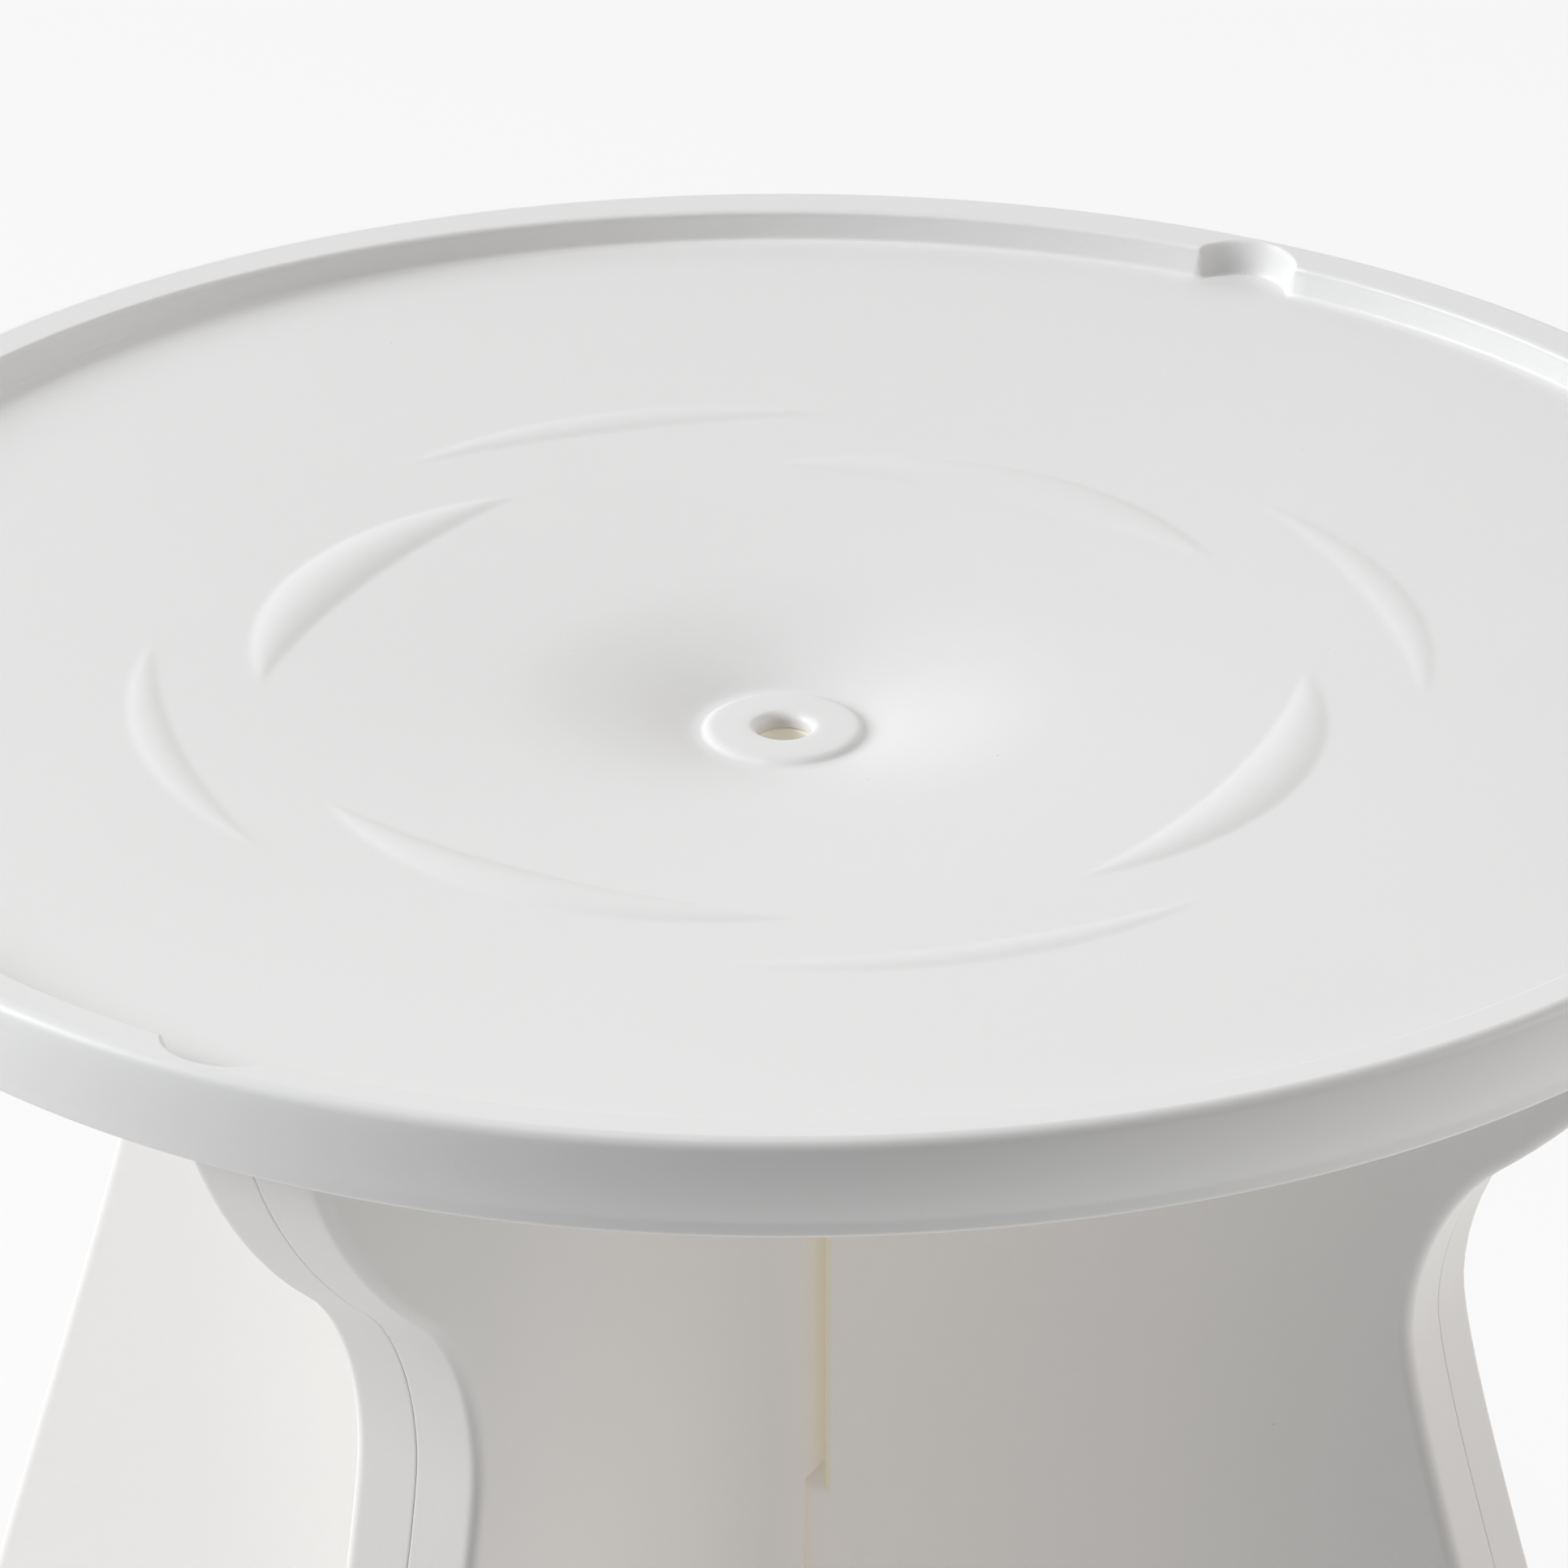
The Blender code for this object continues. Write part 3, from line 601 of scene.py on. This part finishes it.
panel_white = moulded_plastic(
    "panel_white", (0.835, 0.822, 0.805), (0.825, 0.81, 0.79), 0.44, 2000.0, 0.3, 0.4,
)
# Painted light: the slot walls' cream colour and warm emission stand in for light through the thin
# walls.
slot_painted_glow = moulded_plastic(
    "slot_painted_glow", (0.84, 0.80, 0.66), (0.82, 0.775, 0.63), 0.5, 2000.0, 0.3, 0.3,
)
slot_glow_shader = slot_painted_glow.node_tree.nodes["Principled BSDF"]
slot_glow_shader.inputs["Emission Color"].default_value = (1.0, 0.93, 0.70, 1.0)
slot_glow_shader.inputs["Emission Strength"].default_value = 0.12
# Painted glow on the panels near the crossing, lifting the shade in the corner between them.
paint_glow_at_crossing(panel_white, 0.10, 0.014, 0.13)
for panel, slot_from_top, bearing in (
    ("long_panel", False, panel_bearing), ("cross_panel", True, panel_bearing + 90.0),
):
    for half, side in (("left", 1), ("right", -1)):
        half_shell = build_panel_half(f"{panel}_{half}_half", slot_from_top, bearing, side)
        half_shell.data.materials.append(panel_white)
        half_shell.data.materials.append(slot_painted_glow)
        mark_slot_painted_glow(half_shell.data)
        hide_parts(f"{panel}_{half}_shell")
        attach(half_shell, "base")


# Hub plate: a round plate moulded in white plastic. It lies on the saddles cut in the panels' tops,
# and eight ribs below it grip the panels' sides. A rolled outer edge keeps the plate flat.
hub_radius, hub_hole_radius = 118.0, 10.0
hub_drop, hub_under_drop = 31.2, 36.2
hub_grooves, hub_round = (30.0, 60.0, 84.0), 1.2
rib_reach, rib_depth, rib_thick, rib_sunk = 112.0, 17.5, 3.0, 0.4
rib_inner = panel_thickness / 2 + panel_clearance


def lathe(name, section, steps):
    """A turned ring: a closed section of (radius, drop) carried round the vertical axis."""
    shape = bmesh.new()
    rings = []
    for step in range(steps):
        turn = math.tau * step / steps
        rings.append([
            shape.verts.new((r * mm * math.cos(turn), r * mm * math.sin(turn), rim_top - drop * mm))
            for r, drop in section
        ])
    for here, after in zip(rings, rings[1:] + rings[:1]):
        for place in range(len(section)):
            beyond = (place + 1) % len(section)
            shape.faces.new((here[place], here[beyond], after[beyond], after[place]))
    bmesh.ops.recalc_face_normals(shape, faces=shape.faces)
    return link_piece(name, shaded_mesh(shape, name, 38.0))


def rounded_bar(name, size, centre, bearing, radius):
    """A bar with rounded edges, in mm, turned to a bearing about the vertical axis."""
    shape = bmesh.new()
    bmesh.ops.create_cube(shape, size=1.0)
    for vert in shape.verts:
        for axis in range(3):
            vert.co[axis] = (vert.co[axis] * size[axis] + centre[axis]) * mm
    bmesh.ops.bevel(
        shape, geom=list(shape.edges), offset=radius * mm, segments=3, profile=0.5,
        affect="EDGES", clamp_overlap=True,
    )
    shape.transform(Matrix.Rotation(math.radians(bearing), 4, "Z"))
    return link_piece(name, shaded_mesh(shape, name, 40.0))


hub_white = moulded_plastic(
    "hub_white", (0.79, 0.785, 0.77), (0.76, 0.752, 0.735), 0.48, 1800.0, 0.35, 0.6,
)
hub_section = [(hub_hole_radius, hub_under_drop - 0.4), (hub_hole_radius, hub_drop + 0.4)]
hub_section += [(hub_hole_radius + 0.4, hub_drop)]
for groove in hub_grooves:
    hub_section += [
        (groove - 1.6, hub_drop), (groove - 1.0, hub_drop + 0.5),
        (groove + 1.0, hub_drop + 0.5), (groove + 1.6, hub_drop),
    ]
hub_section += arc((hub_radius - hub_round, hub_drop + hub_round), hub_round, 90.0, 0.0, 4)
hub_section += arc((hub_radius - hub_round, hub_under_drop - hub_round), hub_round, 0.0, -90.0, 4)
hub_section += [(hub_hole_radius + 0.4, hub_under_drop)]
hub_pieces = [lathe("hub_disc", hub_section, 120)]
rib_length = rib_reach - rib_inner
for quarter in range(4):
    for side in (-1, 1):
        hub_pieces.append(rounded_bar(
            f"hub_rib_{quarter + 1}_{'left' if side > 0 else 'right'}",
            (rib_length, rib_thick, rib_depth + rib_sunk),
            (rib_inner + rib_length / 2, side * (rib_inner + rib_thick / 2),
             rim_top / mm - hub_under_drop - rib_depth / 2 + rib_sunk / 2),
            panel_bearing + 90.0 * quarter, 0.7,
        ))
for piece in hub_pieces:
    piece.data.materials.append(hub_white)
    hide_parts("hub_plate")
    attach(piece, "base")


# Races: two pressed rings of zinc-plated steel with a rolled ball track. The lower one is screwed
# to the hub plate, and the upper one to the boss under the platter.
race_inner, race_outer, race_thick = 90.0, 115.0, 2.0
upper_race_drop, lower_race_drop = 20.3, 28.9
ball_radius, ball_ring, ball_drop = 4.0, 98.0, 25.6
track_radius = 4.35


def brushed_metal_group():
    """Turned or rolled metal: fine rings of brushing round the axis, and dull cloudy patches."""
    group = bpy.data.node_groups.new("rolled_metal", "ShaderNodeTree")
    socket(group, "Metal", "NodeSocketColor", value=(0.6, 0.6, 0.6, 1.0))
    socket(group, "Tarnish", "NodeSocketColor", value=(0.45, 0.44, 0.42, 1.0))
    socket(group, "Polish", "NodeSocketFloat", value=0.3)
    socket(group, "Ring Spacing", "NodeSocketFloat", value=900.0)
    socket(group, "Colour", "NodeSocketColor", is_output=True)
    socket(group, "Roughness", "NodeSocketFloat", is_output=True)
    socket(group, "Height", "NodeSocketFloat", is_output=True)
    nodes, links = group.nodes, group.links
    given = nodes.new("NodeGroupInput")
    made = nodes.new("NodeGroupOutput")
    place = nodes.new("ShaderNodeTexCoord")
    rings = nodes.new("ShaderNodeTexWave")
    rings.wave_type = "RINGS"
    rings.rings_direction = "Z"
    rings.inputs["Distortion"].default_value = 1.5
    rings.inputs["Detail"].default_value = 3.0
    rings.inputs["Detail Scale"].default_value = 2.0
    links.new(place.outputs["Object"], rings.inputs["Vector"])
    links.new(given.outputs["Ring Spacing"], rings.inputs["Scale"])
    clouds = nodes.new("ShaderNodeTexNoise")
    clouds.inputs["Scale"].default_value = 60.0
    clouds.inputs["Detail"].default_value = 5.0
    links.new(place.outputs["Object"], clouds.inputs["Vector"])
    patch = nodes.new("ShaderNodeMapRange")
    patch.inputs["From Min"].default_value = 0.42
    patch.inputs["From Max"].default_value = 0.68
    links.new(clouds.outputs["Fac"], patch.inputs["Value"])
    tone = nodes.new("ShaderNodeMix")
    tone.data_type = "RGBA"
    links.new(patch.outputs["Result"], tone.inputs["Factor"])
    links.new(given.outputs["Metal"], tone.inputs["A"])
    links.new(given.outputs["Tarnish"], tone.inputs["B"])
    links.new(tone.outputs["Result"], made.inputs["Colour"])
    dull = nodes.new("ShaderNodeMath")
    dull.operation = "MULTIPLY_ADD"
    dull.use_clamp = True
    dull.inputs[1].default_value = 0.18
    links.new(patch.outputs["Result"], dull.inputs[0])
    links.new(given.outputs["Polish"], dull.inputs[2])
    links.new(dull.outputs[0], made.inputs["Roughness"])
    links.new(rings.outputs["Fac"], made.inputs["Height"])
    return group


rolled_metal = brushed_metal_group()


def metal(name, colour, tarnish, polish, spacing, depth):
    """A metal that carries the rolled surface, with its own colour, polish and ring spacing."""
    material = bpy.data.materials.new(name)
    material.use_nodes = True
    nodes, links = material.node_tree.nodes, material.node_tree.links
    shader = nodes["Principled BSDF"]
    skin = nodes.new("ShaderNodeGroup")
    skin.node_tree = rolled_metal
    skin.inputs["Metal"].default_value = (*colour, 1.0)
    skin.inputs["Tarnish"].default_value = (*tarnish, 1.0)
    skin.inputs["Polish"].default_value = polish
    skin.inputs["Ring Spacing"].default_value = spacing
    relief = nodes.new("ShaderNodeBump")
    relief.inputs["Strength"].default_value = depth
    relief.inputs["Distance"].default_value = 0.00005
    shader.inputs["Metallic"].default_value = 1.0
    links.new(skin.outputs["Colour"], shader.inputs["Base Color"])
    links.new(skin.outputs["Roughness"], shader.inputs["Roughness"])
    links.new(skin.outputs["Height"], relief.inputs["Height"])
    links.new(relief.outputs["Normal"], shader.inputs["Normal"])
    return material


def race_section(back_drop, way):
    """A race from its flat back towards the balls: way is 1 downwards and -1 upwards."""
    face = back_drop + way * race_thick
    half = math.sqrt(track_radius ** 2 - (ball_drop - face) ** 2)
    reach = math.degrees(math.asin(half / track_radius))
    section = [(race_inner + 0.3, back_drop), (race_inner, back_drop + way * 0.3)]
    section += [(race_inner, face - way * 0.5), (race_inner + 0.5, face)]
    for step in range(9):
        turn = math.radians(-reach + 2 * reach * step / 8)
        across, down = track_radius * math.sin(turn), track_radius * math.cos(turn)
        section.append((ball_ring + across, ball_drop - way * down))
    section += [(race_outer - 0.5, face), (race_outer, face - way * 0.5)]
    section += [(race_outer, back_drop + way * 0.3), (race_outer - 0.3, back_drop)]
    return section


zinc_steel = metal("zinc_plated_steel", (0.66, 0.66, 0.65), (0.5, 0.5, 0.49), 0.28, 1400.0, 0.35)
for name, back_drop, way, body in (
    ("upper_race", upper_race_drop, 1, "turning_platter"),
    ("lower_race", lower_race_drop + race_thick, -1, "base"),
):
    race = lathe(f"{name}_ring", race_section(back_drop, way), 144)
    race.data.materials.append(zinc_steel)
    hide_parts(name)
    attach(race, body)


# Balls: twelve polished hardened steel balls, one in each pocket of the cage.
ball_steel = metal("polished_ball_steel", (0.74, 0.74, 0.75), (0.66, 0.66, 0.67), 0.08, 500.0, 0.02)
for number in range(12):
    turn = math.radians(30.0 * number)
    shape = bmesh.new()
    bmesh.ops.create_icosphere(shape, subdivisions=4, radius=ball_radius * mm)
    out, along = ball_ring * mm * math.cos(turn), ball_ring * mm * math.sin(turn)
    bmesh.ops.translate(shape, verts=shape.verts, vec=(out, along, rim_top - ball_drop * mm))
    mesh = bpy.data.meshes.new(f"ball_{number + 1:02d}")
    shape.to_mesh(mesh)
    shape.free()
    mesh.shade_smooth()
    ball = link_piece(f"ball_{number + 1:02d}", mesh)
    ball.data.materials.append(ball_steel)
    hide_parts(f"bearing_ball_{number + 1:02d}")
    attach(ball, "ball_train")


# Cage, washer and clip keep their solid shapes: a natural nylon ring with twelve pockets, a turned
# brass thrust washer and a nylon clip. Each gets its finish here.
cage_nylon = moulded_plastic(
    "natural_nylon", (0.72, 0.69, 0.60), (0.66, 0.62, 0.52), 0.42, 1600.0, 0.3, 0.5,
)
washer_brass = metal("turned_brass", (0.72, 0.53, 0.26), (0.5, 0.36, 0.18), 0.3, 2200.0, 0.4)
for node, finish in (
    ("ball_cage", cage_nylon), ("thrust_washer", washer_brass), ("spindle_clip", cage_nylon),
):
    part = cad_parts[node]
    for index in range(len(part.material_slots)):
        part.material_slots[index].material = finish


# Spindle: a hollow pin moulded in natural acetal, pushed up into the socket under the dimple. A
# groove near its foot takes the clip. Its finish has a painted glow, a faint warm emission that
# stands in for light through its thin wall, seen in the platter's hole.
spindle_radius, spindle_bore = 9.2, 5.0
spindle_top_drop, spindle_foot_drop = 26.5, 41.9
groove_drops, groove_depth = (38.0, 39.8), 1.2
groove_radius = spindle_radius - groove_depth
spindle_section = [
    (spindle_bore + 0.3, spindle_top_drop), (spindle_radius - 0.4, spindle_top_drop),
    (spindle_radius, spindle_top_drop + 0.4), (spindle_radius, groove_drops[0]),
    (groove_radius, groove_drops[0]), (groove_radius, groove_drops[1]),
    (spindle_radius, groove_drops[1]), (spindle_radius, spindle_foot_drop - 1.4),
    (spindle_radius - 0.5, spindle_foot_drop - 0.5), (spindle_radius - 1.2, spindle_foot_drop),
    (spindle_bore + 0.4, spindle_foot_drop), (spindle_bore, spindle_foot_drop - 0.4),
    (spindle_bore, spindle_top_drop + 0.3),
]
acetal = moulded_plastic(
    "natural_acetal", (0.90, 0.87, 0.78), (0.86, 0.82, 0.72), 0.4, 1800.0, 0.2, 0.2,
)
acetal_glow_shader = acetal.node_tree.nodes["Principled BSDF"]
# Painted glow: a faint warm emission standing in for light through the spindle's thin wall.
acetal_glow_shader.inputs["Emission Color"].default_value = (1.0, 0.95, 0.84, 1.0)
acetal_glow_shader.inputs["Emission Strength"].default_value = 0.1
spindle_pin = lathe("spindle_pin", spindle_section, 72)
spindle_pin.data.materials.append(acetal)
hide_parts("spindle")
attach(spindle_pin, "turning_platter")


# Screws: twelve zinc-plated pan heads with a cross recess and a coarse thread for plastic. Four
# hold each race, and four go through the hub's ribs into the panels.
screw_shank, screw_head, screw_head_high = 2.0, 3.6, 2.2
race_screw_ring, race_screw_length = 109.3, 6.5
hub_screw_ring, hub_screw_drop, hub_screw_length = 95.0, 46.2, 10.0
recess_width, recess_reach, recess_depth, recess_taper = 0.75, 1.7, 1.3, 0.55
thread_pitch, thread_depth = 0.8, 0.45


def cut_away(solid, cutter, name, crease, crossing):
    """The solid shape less the cutter's, as a mesh. Crossing is for a cutter that meets itself."""
    things = []
    for role, shape in (("blank", solid), ("cutter", cutter)):
        rough = bpy.data.meshes.new(f"{name}_{role}")
        shape.to_mesh(rough)
        shape.free()
        things.append(link_piece(f"{name}_{role}", rough))
    blank, tool = things
    cut = blank.modifiers.new("cut", "BOOLEAN")
    cut.operation = "DIFFERENCE"
    cut.solver = "EXACT"
    cut.use_self = crossing
    cut.object = tool
    depsgraph = bpy.context.evaluated_depsgraph_get()
    mesh = bpy.data.meshes.new_from_object(blank.evaluated_get(depsgraph))
    mesh.name = name
    mesh.shade_smooth()
    mesh.set_sharp_from_angle(angle=math.radians(crease))
    for thing in things:
        bpy.data.objects.remove(thing)
    return mesh


def screw_mesh(name, length):
    """A pan head screw standing on its seat at the origin, head up, with a cross cut in it."""
    section = [(0.0, screw_head_high)]
    for step in range(1, 6):
        turn = math.radians(15.0 * step)
        height = screw_head_high * (0.25 + 0.75 * math.cos(turn))
        section.append((screw_head * math.sin(turn), height))
    section += [(screw_head, 0.5), (screw_head, 0.15), (screw_head - 0.15, 0.0), (screw_shank, 0.0)]
    depth = thread_pitch / 2
    while depth < length - 1.6:
        section += [(screw_shank - thread_depth, -depth), (screw_shank, -depth - thread_pitch / 2)]
        depth += thread_pitch
    section += [(screw_shank - 0.6, -length + 0.8), (0.0, -length)]
    shape = bmesh.new()
    spin = [shape.verts.new((r * mm, 0.0, z * mm)) for r, z in section]
    edges = [shape.edges.new(pair) for pair in zip(spin, spin[1:])]
    bmesh.ops.spin(
        shape, geom=spin + edges, cent=(0, 0, 0), axis=(0, 0, 1), angle=math.tau, steps=28,
        use_merge=True,
    )
    bmesh.ops.remove_doubles(shape, verts=shape.verts, dist=1e-6)
    bmesh.ops.recalc_face_normals(shape, faces=shape.faces)
    cross = bmesh.new()
    box_faces = ((3, 2, 1, 0), (4, 5, 6, 7), (0, 1, 5, 4), (1, 2, 6, 5), (2, 3, 7, 6), (3, 0, 4, 7))
    for wide, deep in ((recess_reach, recess_width / 2), (recess_width / 2, recess_reach)):
        plan = [(x * wide, y * deep) for x, y in ((-1, -1), (1, -1), (1, 1), (-1, 1))]
        top = [(x, y, screw_head_high + 0.2) for x, y in plan]
        floor = screw_head_high - recess_depth
        low = [(x * recess_taper, y * recess_taper, floor) for x, y in plan]
        corners = [cross.verts.new([value * mm for value in corner]) for corner in top + low]
        for face in box_faces:
            cross.faces.new([corners[place] for place in face])
    bmesh.ops.recalc_face_normals(cross, faces=cross.faces)
    return cut_away(shape, cross, name, 30.0, True)


def place_screw(name, node, pattern, place, body):
    mesh = pattern.copy()
    mesh.name = name
    mesh.transform(place)
    piece = link_piece(name, mesh)
    piece.data.materials.append(screw_zinc)
    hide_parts(node)
    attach(piece, body)


screw_zinc = metal("zinc_screw", (0.7, 0.7, 0.68), (0.55, 0.54, 0.5), 0.25, 2600.0, 0.2)
short_screw = screw_mesh("short_screw", race_screw_length)
long_screw = screw_mesh("long_screw", hub_screw_length)
race_screw_bearings = (16.5, 106.5, 196.5, 286.5)
for number, bearing in enumerate(race_screw_bearings, 1):
    for race, turn_on, seat, flip, body in (
        ("lower", 0.0, lower_race_drop - panel_clearance, 0.0, "base"),
        ("upper", 45.0, upper_race_drop + race_thick + panel_clearance, 180.0, "turning_platter"),
    ):
        spin = Matrix.Rotation(math.radians(bearing + turn_on), 4, "Z")
        spot = Matrix.Translation((race_screw_ring * mm, 0.0, rim_top - seat * mm))
        tip = Matrix.Rotation(math.radians(flip), 4, "X")
        place_screw(
            f"{race}_screw_{number}", f"{race}_race_screw_{number}", short_screw,
            spin @ spot @ tip, body,
        )
for quarter in range(4):
    spin = Matrix.Rotation(math.radians(panel_bearing + 90.0 * quarter), 4, "Z")
    side = rib_inner + rib_thick + panel_clearance
    spot = Matrix.Translation((hub_screw_ring * mm, side * mm, rim_top - hub_screw_drop * mm))
    tip = Matrix.Rotation(math.radians(-90.0), 4, "X")
    place_screw(
        f"rib_screw_{quarter + 1}", f"hub_screw_{quarter + 1}", long_screw,
        spin @ spot @ tip, "base",
    )


# Foot pads: four soft grey rubber pads pressed under the ends of the panels, with rounded ends, a
# bevelled tread edge and cross grooves that keep the stand from sliding.
pad_length, pad_width, pad_thick = 38.0, 15.0, 3.0
pad_ring, pad_corner = 172.0, 5.0
tread_grooves, tread_spacing, tread_width, tread_depth = 7, 4.2, 1.1, 0.8
# The pad's side from the floor up: how far it is drawn in, and at which height.
pad_levels = ((0.9, 0.0), (0.25, 0.2), (0.0, 0.8), (0.0, 2.6), (0.12, 2.88), (0.4, pad_thick))


def pad_outline(shrink):
    found = []
    for quarter_turn, (x, y) in enumerate(((1, 1), (-1, 1), (-1, -1), (1, -1))):
        middle = (x * (pad_length / 2 - pad_corner), y * (pad_width / 2 - pad_corner))
        for step in range(7):
            turn = math.radians(90.0 * quarter_turn + 15.0 * step)
            reach = pad_corner - shrink
            found.append((middle[0] + reach * math.cos(turn), middle[1] + reach * math.sin(turn)))
    return found


def build_pad(name, bearing):
    shape = bmesh.new()
    loops = []
    for shrink, level in pad_levels:
        outline = pad_outline(shrink)
        loops.append([shape.verts.new((x * mm, y * mm, level * mm)) for x, y in outline])
    for low, high in zip(loops, loops[1:]):
        for here in range(len(low)):
            beyond = (here + 1) % len(low)
            shape.faces.new((low[here], low[beyond], high[beyond], high[here]))
    shape.faces.new(loops[0])
    shape.faces.new(loops[-1])
    bmesh.ops.recalc_face_normals(shape, faces=shape.faces)
    knives = bmesh.new()
    for groove in range(tread_grooves):
        along = (groove - (tread_grooves - 1) / 2) * tread_spacing
        for vert in bmesh.ops.create_cube(knives, size=1.0)["verts"]:
            x, y, z = vert.co
            vert.co = Vector((x * tread_width + along, y * pad_width * 2, z * tread_depth * 2)) * mm
    mesh = cut_away(shape, knives, name, 40.0, False)
    spin = Matrix.Rotation(math.radians(bearing), 4, "Z")
    mesh.transform(spin @ Matrix.Translation((pad_ring * mm, 0.0, 0.0)))
    return link_piece(name, mesh)


pad_rubber = moulded_plastic(
    "grey_rubber", (0.20, 0.20, 0.205), (0.16, 0.16, 0.165), 0.78, 1500.0, 0.6, 0.3,
)
for quarter in range(4):
    pad = build_pad(f"pad_{quarter + 1}", panel_bearing + 90.0 * quarter)
    pad.data.materials.append(pad_rubber)
    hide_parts(f"foot_pad_{quarter + 1}")
    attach(pad, "base")
